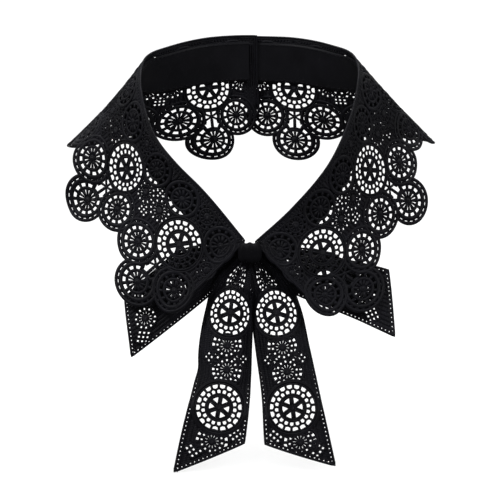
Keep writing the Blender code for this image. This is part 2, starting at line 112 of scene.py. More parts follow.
# The ribbon's lower edge as distances along and down: it is turned up towards the front.
RIBBON_BOTTOM = np.array(((62.0, 30.5), (84.0, 28.0), (106.0, 23.5), (130.0, 20.4)))
RIBBON_STARTS = {"left": 0.5, "right": 2.4}
RIBBON_FRONT_END = 221.0
RIBBON_BEHIND = 1.5      # middle of the lace to the middle of the ribbon
RIBBON_ROWS, RIBBON_COLUMNS = 170, 17
PUCKER_DEPTH = 0.16
PUCKER_LENGTHS = (13.0, 31.0)
SEAM_INSET = 1.4         # ribbon's edge to its sewing stitches
SEAM_STARTS, SEAM_ENDS = 1.2, 3.4   # from the ribbon's two ends
STITCH_LENGTH = 2.1
SEAM_THREAD = (0.5, 0.42)           # width and height

KNOT_SIZE = (13.6, 13.4, 11.0)    # across, down, deep
KNOT_CENTRE = (0.0, 5.3, -1.6)    # across, down the chest, out from it
KNOT_SQUARENESS = 0.62            # power of the squared oval: 1 is an ellipse, 0 a box
KNOT_EDGE_FALL = 2.2              # how far the wrap is drawn in at its two edges
KNOT_ROWS, KNOT_COLUMNS = 72, 25
CHEST_POINT = (0.0, -54.5, -103.5)
CHEST_LEAN = 15.0                 # degrees from straight down
PROBE = 0.5                       # step of the slopes that are measured on a surface
LEAST_CURL = 0.0001               # keeps the arc of a flat section from an endless radius

# --- The stage, in metres, watts and degrees -----------------------------------------------------
FLOOR_LEVEL = -0.2362
FLOOR_FRONT, FLOOR_BACK, FLOOR_HALF_WIDTH = -1.8, 0.9, 2.6
BACKDROP_RADIUS, BACKDROP_HEIGHT = 0.5, 2.4
Lamp = namedtuple("Lamp", "name place size power lit")
LAMPS = (
    Lamp("key_light", (-1.1, -0.4, 1.4), 0.35, 108.0, "lit cloth"),
    Lamp("fill_light", (1.3, -0.6, 1.1), 0.5, 62.0, "lit cloth"),
    Lamp("top_light", (0.1, 0.8, 1.6), 0.4, 70.0, "lit cloth"),
    Lamp("floor_light", (0.0, -0.1, 0.75), 0.8, 4.6, "lit paper"),
)
LAMP_TARGET = (0.0, -0.02, -0.1)
SURROUND = 1.06
CAMERA_PLACE = (0.0001, -0.7548, 0.0806)
CAMERA_TILT = 75.0

# --- The band on the wearer: the same sections as the CAD solids ----------------------------------
# along, x, y, z of the neck edge, then turn and lean at the neck edge and at the hem.
BAND_SECTIONS = {
    "left": (
        (-5.0, -5.0, 52.1, 12.3, 90, 0, -150, 9),
        (8.0, 8.0, 52.0, 12.2, 90, 0, -150, 9),
        (28.75, 28.3, 48.6, 11.0, 115, 2, -140, 9),
        (57.5, 52.5, 30.0, 7.0, 40, 12, 35, 21),
        (80.0, 64.5, 11.0, 3.0, 28, 38, 24, 39),
        (98.0, 67.5, -1.5, -4.0, 30, 45, 12, 50),
        (115.0, 67.0, -12.5, -15.2, 30, 43, 0, 63),
        (145.0, 57.5, -29.5, -41.5, 38, 41, 0, 59),
        (167.0, 44.8, -38.0, -56.3, 28, 43, 2, 52),
        (187.0, 29.4, -44.0, -70.6, 8, 43, -4, 52),
        (229.0, 0.5, -54.5, -103.5, -12, 47, -12, 47),
    ),
    "right": (
        (0.0, 0.0, 54.5, 11.5, 90, 0, -90, 5),
        (8.0, 8.0, 54.2, 11.4, 90, 0, -90, 5),
        (28.75, 28.9, 49.0, 11.0, 60, 2, -75, 9),
        (57.5, 52.5, 30.0, 8.0, 40, 12, 35, 22),
        (80.0, 64.5, 11.0, 4.0, 25, 42, 22, 42),
        (98.0, 67.5, -1.5, -4.0, 27, 46, 18, 50),
        (115.0, 65.5, -13.0, -17.5, 38, 42, 8, 59),
        (139.0, 59.0, -26.5, -36.5, 41, 39, 0, 60),
        (161.0, 49.0, -36.5, -55.5, 36, 42, 8, 53),
        (195.0, 26.0, -46.2, -81.9, 7, 41, 3, 51),
        (229.0, 0.5, -54.5, -103.8, -14, 46, -10, 45),
    ),
}
BAND_SIDE = {"left": -1.0, "right": 1.0}

# --- The tails, from the knot to the cut end ------------------------------------------------------
# Sections: along, then across, down and out on the chest, half width, bend and tip. After them
# the two edge lengths, the places of the motifs as along and side, the curl and the pleats.
Tail = namedtuple(
    "Tail", "sections length_left length_right medallions small_wheels nets curl pleats")
TAILS = {
    "long_tail_left": Tail((
        (0.0, -4.0, 12.5, -2.6, 5.8, 0.3, 0.0),
        (15.0, -10.2, 27.2, -4.2, 12.4, 0.4, 0.0),
        (31.0, -12.7, 42.7, -3.0, 14.6, 0.5, 0.0),
        (55.0, -15.1, 66.6, -0.5, 16.2, 0.5, 0.0),
        (66.0, -15.4, 77.4, 0.6, 16.2, 0.4, 0.2),
        (77.0, -17.0, 88.4, 1.4, 17.5, 0.3, 0.4),
        (103.0, -21.6, 114.0, 2.6, 19.4, 1.0, 0.8),
        (136.0, -27.8, 146.4, 3.4, 20.1, 0.6, 1.2),
    ), 131.4, 105.4, ((29.4, 0.8), (86.9, 0.1)),
        ((8.0, 0.0), (49.4, 1.0), (64.2, 1.4), (107.6, -0.4)),
        ((56.8, -8.1), (57.9, 9.8), (102.0, 13.2), (114.6, -9.6)), 0.24, 1.0),
    "long_tail_right": Tail((
        (0.0, 4.6, 12.5, -3.6, 5.8, 0.3, 0.0),
        (15.0, 12.0, 26.4, -5.8, 12.6, 0.4, 0.0),
        (31.0, 16.0, 41.5, -4.8, 15.2, 0.5, 0.0),
        (55.0, 20.2, 65.2, -1.2, 16.4, 0.5, 0.0),
        (78.0, 24.2, 88.0, 1.6, 17.4, 0.3, -0.4),
        (103.0, 27.6, 112.8, 3.2, 19.5, 0.9, -0.8),
        (134.0, 32.2, 143.5, 4.4, 21.6, 0.5, -1.0),
    ), 107.8, 127.6, ((31.0, 0.0), (88.5, 0.0)),
        ((9.0, 0.0), (52.1, 0.0), (66.6, 0.3), (109.4, 1.6)),
        ((58.2, -8.4), (60.6, 9.1), (104.6, -12.6), (115.1, 9.6)), 0.24, 1.0),
    "side_tail_left": Tail((
        (0.0, -8.6, 7.5, -4.6, 4.6, 0.0, 0.0),
        (9.0, -17.0, 10.6, -7.8, 9.4, 0.0, 0.3),
        (21.0, -29.2, 14.9, -9.6, 15.4, 0.0, 1.0),
        (45.0, -48.2, 29.0, -9.8, 17.0, 0.0, 2.4),
        (69.0, -66.5, 44.2, -10.4, 16.4, 0.0, 4.0),
        (95.0, -88.4, 58.6, -12.4, 18.5, 0.0, 5.2),
    ), 71.5, 88.0, ((41.0, 0.0),), ((18.5, 0.0), (67.5, 2.5)),
        ((62.5, -12.0), (75.0, 11.5)), 0.08, 0.5),
    "side_tail_right": Tail((
        (0.0, 7.8, 6.5, -4.6, 4.6, 0.0, 0.0),
        (9.0, 15.8, 10.6, -7.4, 9.4, 0.0, -0.3),
        (22.0, 28.2, 15.2, -9.0, 14.0, 0.0, -1.6),
        (46.0, 51.6, 23.4, -13.2, 15.8, 0.0, -3.8),
        (72.0, 76.4, 31.4, -19.7, 18.2, 0.0, -7.2),
        (96.0, 99.2, 39.6, -26.5, 20.4, 0.0, -9.5),
    ), 93.6, 77.0, ((41.0, 0.0),), ((18.5, 0.0), (67.5, -2.5)),
        ((62.5, 12.0), (75.0, -11.5)), 0.08, 0.5),
}

# Equal lines in the flat pattern, whether they close, and the tube's width and height.
Cord = namedtuple("Cord", "lines closed width height")


# --- Settings -------------------------------------------------------------------------------------
def millimetres(name, description, default, low, high):
    """A size property, given here in millimetres and kept in metres."""
    return FloatProperty(name=name, description=description, default=default * MM, min=low * MM,
                         max=high * MM, precision=5, subtype="DISTANCE", unit="LENGTH")


def colour_choice(name, description, default):
    return FloatVectorProperty(name=name, description=description, default=default, min=0.0,
                               max=1.0, size=3, subtype="COLOR")


class LaceCollarLaceSettings(bpy.types.PropertyGroup):
    """Cord sizes and colour of the corded lace."""

    heavy_cord: millimetres(
        "Heavy cord", "Width of the padded cords that outline a motif", 1.5, 0.4, 2.5)
    middle_cord: millimetres("Middle cord", "Width of the spokes and inner rings", 1.25, 0.3, 2.0)
    fine_cord: millimetres(
        "Fine cord", "Width of the net bars between the motifs", 1.25, 0.2, 1.5)
    net_pitch: millimetres(
        "Net pitch", "Distance between two parallel bars of the net", 2.3, 1.2, 5.0)
    thickness: millimetres(
        "Thickness", "Thickness of the lace at its padded cords", 1.5, 0.4, 2.5)
    ripple: millimetres(
        "Hem ripple", "How far the hem waves in and out of the band's surface", 0.9, 0.0, 3.0)
    satin_pitch: millimetres(
        "Satin pitch", "Distance between two stitches of the filled ground", 1.05, 0.4, 3.0)
    stitch: millimetres(
        "Stitch spacing", "Distance between two stitches laid over a cord", 0.42, 0.1, 2.0)
    thread: colour_choice("Thread", "Colour of the lace thread", (0.0013, 0.0013, 0.0019))


class LaceCollarRibbonSettings(bpy.types.PropertyGroup):
    """The ribbon sewn inside the neck edge."""

    width: millimetres("Width", "Width of the ribbon", 26.0, 5.0, 40.0)
    thickness: millimetres("Thickness", "Thickness of the ribbon", 0.7, 0.2, 1.0)
    stitch_spacing: millimetres(
        "Sewing stitch", "Distance between two sewing stitches", 3.4, 1.5, 10.0)
    colour: colour_choice("Ribbon", "Colour of the ribbon", (0.0017, 0.0017, 0.0022))


class LaceCollarKnotSettings(bpy.types.PropertyGroup):
    """The wrap of plain cloth that makes the knot."""

    folds: FloatProperty(
        name="Folds", description="Number of soft folds across the wrap", default=3.0, min=0.0,
        max=8.0)
    fold_depth: millimetres("Fold depth", "Depth of the folds", 0.7, 0.0, 2.0)
    thickness: millimetres("Thickness", "Thickness of the folded cloth", 0.9, 0.3, 2.0)
    colour: colour_choice("Cloth", "Colour of the knot cloth", (0.0011, 0.0011, 0.0014))


class LaceCollarStageSettings(bpy.types.PropertyGroup):
    """Floor, light and camera."""

    floor: colour_choice("Floor", "Colour of the floor and backdrop", (0.95, 0.95, 0.95))
    light: FloatProperty(
        name="Light", description="Strength of the soft lights together", default=1.0, min=0.0,
        max=10.0, subtype="FACTOR")
    lens: FloatProperty(
        name="Lens", description="Focal length of the camera, in millimetres", default=86.4,
        min=10.0, max=300.0)
    steps: IntProperty(
        name="Curve steps", description="Number of steps in the backdrop's curve", default=24,
        min=4, max=96)


# --- Smooth curves and surfaces -------------------------------------------------------------------
def unit(vectors):
    """The vectors divided by their lengths."""
    return vectors / np.linalg.norm(vectors, axis=-1, keepdims=True)


def smooth_step(value, first, last):
    """0 up to the first value, 1 from the last, and 3t^2 - 2t^3 between."""
    part = np.clip((value - first) / (last - first), 0.0, 1.0)
    return part * part * (3.0 - 2.0 * part)


def through_rows(rows, distance):
    """Cubic curve through the rows' columns, read at distances along.

    Between two rows it is the Hermite cubic of their values and slopes. The slope at a row is
    the mean of the slopes on its two sides, weighted to the nearer row.
    """
    table = np.array(rows, dtype=float)
    knots, values = table[:, 0], table[:, 1:]
    gaps = np.diff(knots)[:, None]
    rise = np.diff(values, axis=0) / gaps
    inner = (rise[:-1] * gaps[1:] + rise[1:] * gaps[:-1]) / (gaps[1:] + gaps[:-1])
    slopes = np.concatenate([rise[:1], inner, rise[-1:]])
    distance = np.asarray(distance, dtype=float)
    row = np.clip(np.searchsorted(knots, distance, side="right") - 1, 0, len(gaps) - 1)
    span = gaps[row]
    part = (distance - knots[row])[..., None] / span
    stay = (1 + 2 * part) * (1 - part) ** 2 * values[row]
    leave = part * (1 - part) ** 2 * span * slopes[row]
    reach = part ** 2 * (3 - 2 * part) * values[row + 1]
    arrive = part ** 2 * (part - 1) * span * slopes[row + 1]
    return stay + leave + reach + arrive


def heading(turn, lean):
    """Unit direction from a compass turn and a slope away from straight down, in degrees."""
    turn, lean = np.radians(turn), np.radians(lean)
    out = np.sin(lean)
    return np.stack([out * np.cos(turn), out * np.sin(turn), -np.cos(lean)], axis=-1)


def band_surface(side):
    """The band's middle surface as a function of along and down.

    Point = edge(along) + neck * down + (hem - neck) * width * (t^3 - t^4 / 2), where t is down /
    width and neck and hem are the unit headings of the cloth at its two edges.
    """
    rows = [(row[0], *row[1:4], *heading(row[4], row[5]), *heading(row[6], row[7]))
            for row in BAND_SECTIONS[side]]
    mirror = np.array([BAND_SIDE[side], 1.0, 1.0])

    def place(along, down):
        values = through_rows(rows, along)
        neck = unit(values[..., 3:6])
        hem = unit(values[..., 6:9])
        down = np.asarray(down, dtype=float)[..., None]
        part = down / BAND_WIDTH
        bend = BAND_WIDTH * (part ** 3 - part ** 4 / 2)
        return (values[..., 0:3] + neck * down + (hem - neck) * bend) * mirror

    return place


def chest_frame():
    """Across, down and out directions of the chest plane."""
    lean = math.radians(CHEST_LEAN)
    across = np.array([1.0, 0.0, 0.0])
    down = np.array([0.0, -math.sin(lean), -math.cos(lean)])
    out = np.array([0.0, -math.cos(lean), math.sin(lean)])
    return across, down, out


def tail_surface(tail):
    """A tail's middle surface as a function of along and side.

    Point = middle line(along) + cross * radius * sin(part * angle) + out * (rise - radius *
    (1 - cos(part * angle)) - bend * part^2 + tip * part), where part is side / half the flat
    width. The angle is that of an arc of the flat width which spans the section, as far as the
    tail's curl allows. Near the knot the cloth is gathered into pleats and falls back by
    pleats * fade(along) * (1 + cos(4 pi part)) / 2.
    """
    across, down, out = chest_frame()

    def place(along, side):
        along = np.asarray(along, dtype=float)
        here = through_rows(tail.sections, along)
        ahead = through_rows(tail.sections, along + PROBE)[..., :2]
        behind = through_rows(tail.sections, along - PROBE)[..., :2]
        course = unit(ahead - behind)
        cross = np.stack([course[..., 1], -course[..., 0]], axis=-1)
        part = np.asarray(side, dtype=float) / (TAIL_WIDTH / 2)
        allowed = LEAST_CURL + tail.curl * smooth_step(along, *CURL_STARTS)
        lost = np.clip(1.0 - here[..., 3] / (TAIL_WIDTH / 2), LEAST_CURL, allowed)
        # Half the angle of an arc whose chord is shorter by the share that is lost, as a series.
        angle = np.sqrt(6.0 * lost * (1.0 + 0.3 * lost))
        radius = here[..., 3] / (1.0 - lost) / angle
        fall = radius * (1.0 - np.cos(part * angle))
        flat = here[..., :2] + cross * (radius * np.sin(part * angle))[..., None]
        rise = here[..., 2] - fall - here[..., 4] * part ** 2 + here[..., 5] * part
        gathered = tail.pleats * (1.0 - smooth_step(along, 0.0, PLEATED))
        rise = rise - gathered * (1.0 + np.cos(4.0 * np.pi * part)) / 2.0
        point = flat[..., 0:1] * across + flat[..., 1:2] * down + rise[..., None] * out
        return point + np.array(CHEST_POINT)

    return place


def outward(place, u, v, towards):
    """Unit normals on the side that faces the given directions, and whether u, v, normal is a
    right-handed set."""
    along = place(u + PROBE, v) - place(u - PROBE, v)
    cross = place(u, v + PROBE) - place(u, v - PROBE)
    normal = unit(np.cross(along, cross))
    facing = np.sum(normal * towards, axis=-1)
    right_handed = np.median(facing) > 0.0
    return normal * np.where(facing < 0.0, -1.0, 1.0)[..., None], right_handed


def from_neck(middle):
    """Directions away from the neck's axis, tipped a little upwards."""
    away = middle * np.array([1.0, 1.0, 0.0])
    return away + np.array([0.0, 0.0, 20.0])


def from_chest(middle):
    """The way out from the chest, for each point."""
    return np.broadcast_to(chest_frame()[2], middle.shape)


def hem_ripple(u, v, depth):
    """Soft wave of the lower band: depth * fade(down) * fade(front) * (sin a + sin b / 2).

    a has one and a half waves to a repeat, b three.
    """
    fade = smooth_step(v, *RIPPLE_DOWN) * (1.0 - smooth_step(u, *RIPPLE_ENDS))
    fade = fade * smooth_step(u, *RIPPLE_STARTS)
    wave = np.sin(3.0 * np.pi * u / REPEAT + 0.6) + 0.5 * np.sin(6.0 * np.pi * u / REPEAT + 2.0)
    return depth * fade * wave


# --- Mesh making ----------------------------------------------------------------------------------
class Parts:
    """Points, faces and UVs gathered for one piece."""

    def __init__(self):
        self.points, self.faces, self.uvs, self.count = [], [], [], 0

    def add(self, points, faces, uvs, turned=False):
        """Adds one part; a turned one has its faces point the other way."""
        if turned:
            faces, uvs = [[one[:, ::-1] for one in group] for group in (faces, uvs)]
        self.points.append(points)
        self.faces.extend(face + self.count for face in faces)
        self.uvs.extend(uvs)
        self.count += len(points)

    def piece(self, name, finish):
        """The gathered parts as one mesh object at the origin, millimetres turned to metres."""
        mesh = bpy.data.meshes.new(name)
        points = np.concatenate(self.points) * MM
        corners = np.concatenate([face.ravel() for face in self.faces]).astype(np.int32)
        sizes = np.concatenate([np.full(len(face), face.shape[1]) for face in self.faces])
        starts = (np.cumsum(sizes) - sizes).astype(np.int32)
        mesh.vertices.add(len(points))
        mesh.vertices.foreach_set("co", points.astype(np.float32).ravel())
        mesh.loops.add(len(corners))
        mesh.loops.foreach_set("vertex_index", corners)
        mesh.polygons.add(len(sizes))
        mesh.polygons.foreach_set("loop_start", starts)
        mesh.update(calc_edges=True)
        mesh.polygons.foreach_set("use_smooth", np.ones(len(sizes), dtype=bool))
        layer = mesh.uv_layers.new(name="along_and_round")
        uvs = np.concatenate([uv.reshape(-1, 2) for uv in self.uvs])
        layer.data.foreach_set("uv", uvs.astype(np.float32).ravel())
        mesh.materials.append(finish)
        mesh.update()
        thing = bpy.data.objects.new(name, mesh)
        bpy.context.scene.collection.objects.link(thing)
        return thing


def grid_quads(rows, columns, loop=False):
    """Corners of the quads of a grid of points. A loop joins its last row to its first."""
    i, j = np.meshgrid(np.arange(rows if loop else rows - 1), np.arange(columns - 1), indexing="ij")
    here, there = i * columns + j, (i + 1) % rows * columns + j
    return np.stack([here, there, there + 1, here + 1], axis=-1).reshape(-1, 4)


def quad_uvs(*corners):
    """UVs of many quads, from the two values at each of the four corners."""
    return np.stack([np.stack(corner, axis=-1) for corner in corners], axis=-2).reshape(-1, 4, 2)


def swept(cord, sides):
    """Tubes of oval section along a cord's flat lines, in u, v and height.

    Point = line + left * width / 2 * cos a + up * height / 2 * sin a. The width may differ from
    one step of the line to the next. The UV is the distance along the line in millimetres and the
    share of the way round.
    """
    lines = np.asarray(cord.lines, dtype=float)
    count, steps = lines.shape[:2]
    if cord.closed:
        ahead, behind = np.roll(lines, -1, axis=1), np.roll(lines, 1, axis=1)
    else:
        ahead = np.concatenate([lines[:, 1:], 2 * lines[:, -1:] - lines[:, -2:-1]], axis=1)
        behind = np.concatenate([2 * lines[:, :1] - lines[:, 1:2], lines[:, :-1]], axis=1)
    course = unit(ahead - behind)
    left = np.stack([-course[..., 1], course[..., 0]], axis=-1)
    angle = 2.0 * np.pi * (np.arange(sides) + 0.5) / sides
    if sides % 4 == 0:
        angle = 2.0 * np.pi * np.arange(sides) / sides
    half = np.broadcast_to(np.asarray(cord.width, dtype=float), (steps,)) / 2 / np.cos(angle).max()
    flat = lines[:, :, None, :] + left[:, :, None, :] * (half[:, None] * np.cos(angle))[..., None]
    rise = np.broadcast_to(np.sin(angle) * cord.height / 2, flat.shape[:3])
    points = np.concatenate([flat, rise[..., None]], axis=-1).reshape(-1, 3)

    runs = steps if cord.closed else steps - 1
    tube, run, side = np.meshgrid(np.arange(count), np.arange(runs), np.arange(sides), indexing="ij")
    first, second = [(tube * steps + step % steps) * sides for step in (run, run + 1)]
    beside = (side + 1) % sides
    quads = np.stack([first + side, first + beside, second + beside, second + side], axis=-1)

    stops = np.concatenate([lines, lines[:, :1]], axis=1) if cord.closed else lines
    length = np.cumsum(np.linalg.norm(np.diff(stops, axis=1), axis=2), axis=1)
    length = np.concatenate([np.zeros((count, 1)), length], axis=1)
    here, there = length[tube, run], length[tube, run + 1]
    near, far = side / sides, (side + 1) / sides
    faces = [quads.reshape(-1, 4)]
    uvs = [quad_uvs((here, near), (here, far), (there, far), (there, near))]
    if not cord.closed:
        start = (np.arange(count) * steps)[:, None] * sides
        faces += [start + np.arange(sides)[::-1], start + (steps - 1) * sides + np.arange(sides)]
        uvs += [np.zeros((count, sides, 2))] * 2
    return points, faces, uvs


def lay_cords(parts, cords, place, towards, lift):
    """Adds cords to a piece: each tube is made flat and then laid on the surface by its normals.

    The tubes of short bars have six sides, and all others eight.
    """
    few = np.concatenate([cord.lines.reshape(-1, 2) for cord in cords])[:64].T
    right_handed = outward(place, *few, towards(place(*few)))[1]
    for cord in cords:
        is_short = cord.lines.shape[1] <= 12
        points, faces, uvs = swept(cord, 6 if is_short else 8)
        u, v, rise = points.T
        middle = place(u, v)
        normal = outward(place, u, v, towards(middle))[0]
        parts.add(middle + normal * (rise + lift(u, v))[:, None], faces, uvs, not right_handed)


def lace_pieces(names, cords, lace, finish, place, towards, lift):
    """The lace's ground and, as a second piece, the thick padded cords laid over it."""
    limit = PADDED_FROM * lace.thickness / MM
    made = []
    for name, chosen in zip(names, ([cord for cord in cords if cord.height < limit],
                                    [cord for cord in cords if cord.height >= limit])):
        parts = Parts()
        lay_cords(parts, chosen, place, towards, lift)
        piece = parts.piece(name, finish)
        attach(piece, "root")
        made.append(piece)
    return made


def sheet_grid(outer, inner, length, width, loop):
    """A thin closed shell from two grids of points, its face and its back, with its rims.

    The UV is the distance along and across in millimetres. A loop joins its last row to its first.
    """
    rows, columns = outer.shape[:2]
    points = np.concatenate([outer.reshape(-1, 3), inner.reshape(-1, 3)])
    runs, shift = rows if loop else rows - 1, rows * columns
    face = grid_quads(rows, columns, loop)
    along, wide = length / runs, width / (columns - 1)
    i, j = np.meshgrid(np.arange(runs), np.arange(columns - 1), indexing="ij")
    here, there, near, far = i * along, (i + 1) * along, j * wide, (j + 1) * wide
    uv = quad_uvs((here, near), (there, near), (there, far), (here, far))
    line = np.arange(runs)
    after = (line + 1) % rows
    edges = [(line * columns, after * columns, False),
             (line * columns + columns - 1, after * columns + columns - 1, True)]
    if not loop:
        row = np.arange(columns - 1)
        last = (rows - 1) * columns
        edges += [(row, row + 1, True), (last + row, last + row + 1, False)]
    faces, uvs = [face, face[:, ::-1] + shift], [uv, uv[:, ::-1]]
    for one, other, swap in edges:
        rim = np.stack([one, one + shift, other + shift, other], axis=-1)
        faces.append(rim[:, ::-1] if swap else rim)
        uvs.append(np.zeros((len(rim), 4, 2)))
    return points, faces, uvs


# --- Lace motifs, each charted round its own middle ------------------------------------------------
def ring(radius, steps, waves=0, swing=0.0):
    """A circle as one closed line; its radius may swing in and out a number of times."""
    angle = 2.0 * np.pi * np.arange(steps) / steps
    reach = radius - swing * np.cos(waves * angle)
    return (reach[:, None] * np.stack([np.cos(angle), np.sin(angle)], axis=-1))[None]


def arc(radius, first, last, steps=None):
    """Part of a circle between two angles in degrees, as one open line."""
    steps = steps or max(3, int(round(abs(last - first) / 6.5)))
    angle = np.radians(np.linspace(first, last, steps))
    return (radius * np.stack([np.cos(angle), np.sin(angle)], axis=-1))[None]


def spokes(inner, outer, angles, spread=0.0):
    """Straight lines from one radius to another, each moved sideways by the spread."""
    angles = np.asarray(angles, dtype=float)
    away = np.stack([np.cos(angles), np.sin(angles)], axis=-1)
    beside = np.stack([-np.sin(angles), np.cos(angles)], axis=-1)
    return away[:, None] * np.array([inner, outer])[:, None] + (beside * spread)[:, None]


def turns(count, offset=0.0):
    """Angles of evenly spaced spokes, started a share of a step round."""
    return 2.0 * np.pi * (np.arange(count) + offset) / count


def rungs(first, last, step):
    """Angles of evenly spaced rungs between two angles, about a step of degrees apart."""
    count = max(2, int(round((last - first) / step)))
    return np.radians(first + (last - first) * (np.arange(count) + 0.5) / count)


def sizes(lace):
    """Heavy, middle and fine cord widths and the lace's thickness, in millimetres."""
    return (lace.heavy_cord / MM, lace.middle_cord / MM, lace.fine_cord / MM,
            lace.thickness / MM)


def medallion(lace):
    """Star of six double spokes, two rows of staggered net openings and a double corded rim."""
    heavy, middle, fine, tall = sizes(lace)
    return [
        Cord(ring(1.2, 12), True, 2.4, tall * 1.05),
        Cord(spokes(1.0, 6.6, turns(6), 0.66), False, heavy, tall * 0.9),
        Cord(spokes(1.0, 6.6, turns(6), -0.66), False, heavy, tall * 0.9),
        Cord(ring(6.8, 40), True, heavy, tall * 0.95),
        Cord(ring(8.0, 44), True, heavy, tall * 0.9),
        Cord(spokes(8.2, 10.8, turns(18)), False, (fine, fine * 1.3), tall * 0.8),
        Cord(ring(11.1, 90, 18, 0.35), True, fine * 1.15, tall * 0.8),
        Cord(spokes(11.3, 14.2, turns(18, 0.5)), False, (fine * 1.15, fine * 1.3), tall * 0.8),
        Cord(ring(14.3, 60), True, middle * 1.1, tall * 0.9),
        Cord(ring(MEDALLION_EDGE, 64), True, middle * 1.1, tall),
    ]


def wheel(lace, squares, rim):
    """Six pairs of petal openings, a ring, spokes between square openings, and then the rim.

    The rim is a ladder and a heavy cord, on the arc that stands clear of the neighbours.
    """
    heavy, _, _, tall = sizes(lace)
    cords = [
        Cord(ring(1.0, 12), True, 2.1, tall * 1.05),
        Cord(spokes(1.5, 5.9, turns(6)), False, (1.15, 2.7), tall * 0.75),
        Cord(spokes(1.5, 5.9, turns(6, 0.5)), False, (0.8, 1.8), tall * 0.7),
        Cord(ring(6.3, 36), True, heavy * 1.3, tall * 0.95),
        Cord(spokes(6.8, 9.8, squares), False, (1.65, 2.1), tall * 0.75),
    ]
    if rim:
        cords.append(Cord(arc(WHEEL_RIM, *rim), False, heavy * 1.4, tall))
        cords.append(Cord(spokes(11.0, 12.2, rungs(*rim, 18.0)), False, 1.9, tall * 0.7))
    return cords


def broad_ring(lace):
    """The closed broad ring of a wheel."""
    tall = sizes(lace)[3]
    radius, width = BROAD_RING
    return [Cord(ring(radius, 48), True, width, tall * 0.95)]


def arched_top(lace):
    """The deepest wheel's ring, open at the top, where two large openings reach up to the star."""
    _, middle, _, tall = sizes(lace)
    radius, width = BROAD_RING
    return [
        Cord(arc(radius, -62.0, 242.0), False, width, tall * 0.95),
        Cord(arc(7.5, -118.0, -62.0), False, middle * 1.4, tall * 0.85),
        Cord(spokes(6.8, 12.9, np.radians([-118.0, -62.0])), False, middle * 1.8, tall * 0.8),
        Cord(spokes(6.8, 13.6, [-np.pi / 2]), False, middle * 1.5, tall * 0.8),
    ]


def small_wheel(lace):
    """Solid middle, a ring of twelve pricks and a ladder rim."""
    _, middle, fine, tall = sizes(lace)
    return [
        Cord(ring(1.25, 12), True, 2.5, tall * 1.05),
        Cord(spokes(2.2, 4.4, turns(12)), False, (1.1, 1.9), tall * 0.7),
        Cord(ring(4.65, 30), True, middle * 1.2, tall * 0.9),
        Cord(spokes(5.1, 6.8, turns(12, 0.5)), False, (1.9, 2.5), tall * 0.7),
        Cord(ring(SMALL_WHEEL_EDGE, 36), True, fine, tall * 0.8),
    ]


def filler_star(lace):
    """Small star of six openings between a medallion and its lowest wheel."""
    tall = sizes(lace)[3]
    return [
        Cord(ring(0.7, 8), True, 1.4, tall * 0.9),
        Cord(spokes(0.6, 5.2, turns(6, 0.5)), False, (1.3, 1.7), tall * 0.75),
    ]


def slit_arcs(lace, first, last):
    """Arc beside a small wheel: a row of slits and the cord that closes it."""
    _, middle, _, tall = sizes(lace)
    return [
        Cord(arc(SLIT_EDGE, first, last), False, middle * 1.3, tall * 0.85),
        Cord(spokes(SMALL_WHEEL_EDGE, SLIT_EDGE, rungs(first, last, 20.0)), False, 1.8,
             tall * 0.7),
    ]


def at_centres(cords, centres):
    """The same cords drawn again round each centre."""
    centres = np.asarray(centres, dtype=float)
    placed = []
    for cord in cords:
        lines = cord.lines[None] + centres[:, None, None, :]
        placed.append(cord._replace(lines=lines.reshape(-1, *cord.lines.shape[1:])))
    return placed


def rotated(points, degrees):
    """Flat points turned about the origin."""
    cosine, sine = math.cos(math.radians(degrees)), math.sin(math.radians(degrees))
    x, y = points[..., 0], points[..., 1]
    return np.stack([x * cosine - y * sine, x * sine + y * cosine], axis=-1)


def lattice(low, high, pitches, turn):
    """Nodes of a lattice over a box: its two pitches, turned by some degrees about the middle."""
    low, high = np.asarray(low, dtype=float), np.asarray(high, dtype=float)
    reach = np.linalg.norm(high - low) / 2
    counts = [int(np.ceil(reach / pitch)) + 1 for pitch in pitches]
    steps = [np.arange(-count, count + 1) * pitch for count, pitch in zip(counts, pitches)]
    nodes = np.stack(np.meshgrid(*steps, indexing="ij"), axis=-1)
    return rotated(nodes, turn) + (low + high) / 2


def cut_to(bars, low, high, keep):
    """The bars inside a box and inside the region that keep() gives.

    Where one end of a bar is outside, it is moved to the edge by halving the bar twelve times.
    Bars that are left shorter than 0.2 mm are dropped.
    """
    bars = bars.reshape(-1, 2, 2)
    near = np.all((bars.max(axis=1) >= np.asarray(low)) & (bars.min(axis=1) <= np.asarray(high)),
                  axis=1)
    bars = bars[near]
    first, last = keep(bars[:, 0]), keep(bars[:, 1])
    bars = np.where(first[:, None, None], bars, bars[:, ::-1])
    mixed = first != last
    inner, outer = bars[:, 0].copy(), bars[:, 1].copy()
    for _ in range(12):
        half_way = (inner + outer) / 2
        good = keep(half_way)
        inner = np.where((mixed & good)[:, None], half_way, inner)
        outer = np.where((mixed & ~good)[:, None], half_way, outer)
    ends = np.where(mixed[:, None], inner, bars[:, 1])
    bars = np.stack([bars[:, 0], ends], axis=1)[first | last]
    return bars[np.linalg.norm(bars[:, 1] - bars[:, 0], axis=1) > 0.2]


def net(centres, pitch, turn, keep):
    """Bars of square blocks of net, each turned by some degrees about its centre."""
    steps = (np.arange(NET_HOLES + 1) - NET_HOLES / 2) * pitch
    block = rotated(np.stack(np.meshgrid(steps, steps, indexing="ij"), axis=-1), turn)
    reach = NET_HOLES * pitch
    blocks = []
    for centre in np.asarray(centres, dtype=float):
        nodes = centre + block
        bars = np.concatenate([np.stack([nodes[:-1], nodes[1:]], axis=2).reshape(-1, 2, 2),
                               np.stack([nodes[:, :-1], nodes[:, 1:]], axis=2).reshape(-1, 2, 2)])
        blocks.append(cut_to(bars, centre - reach, centre + reach, keep))
    return np.concatenate(blocks)


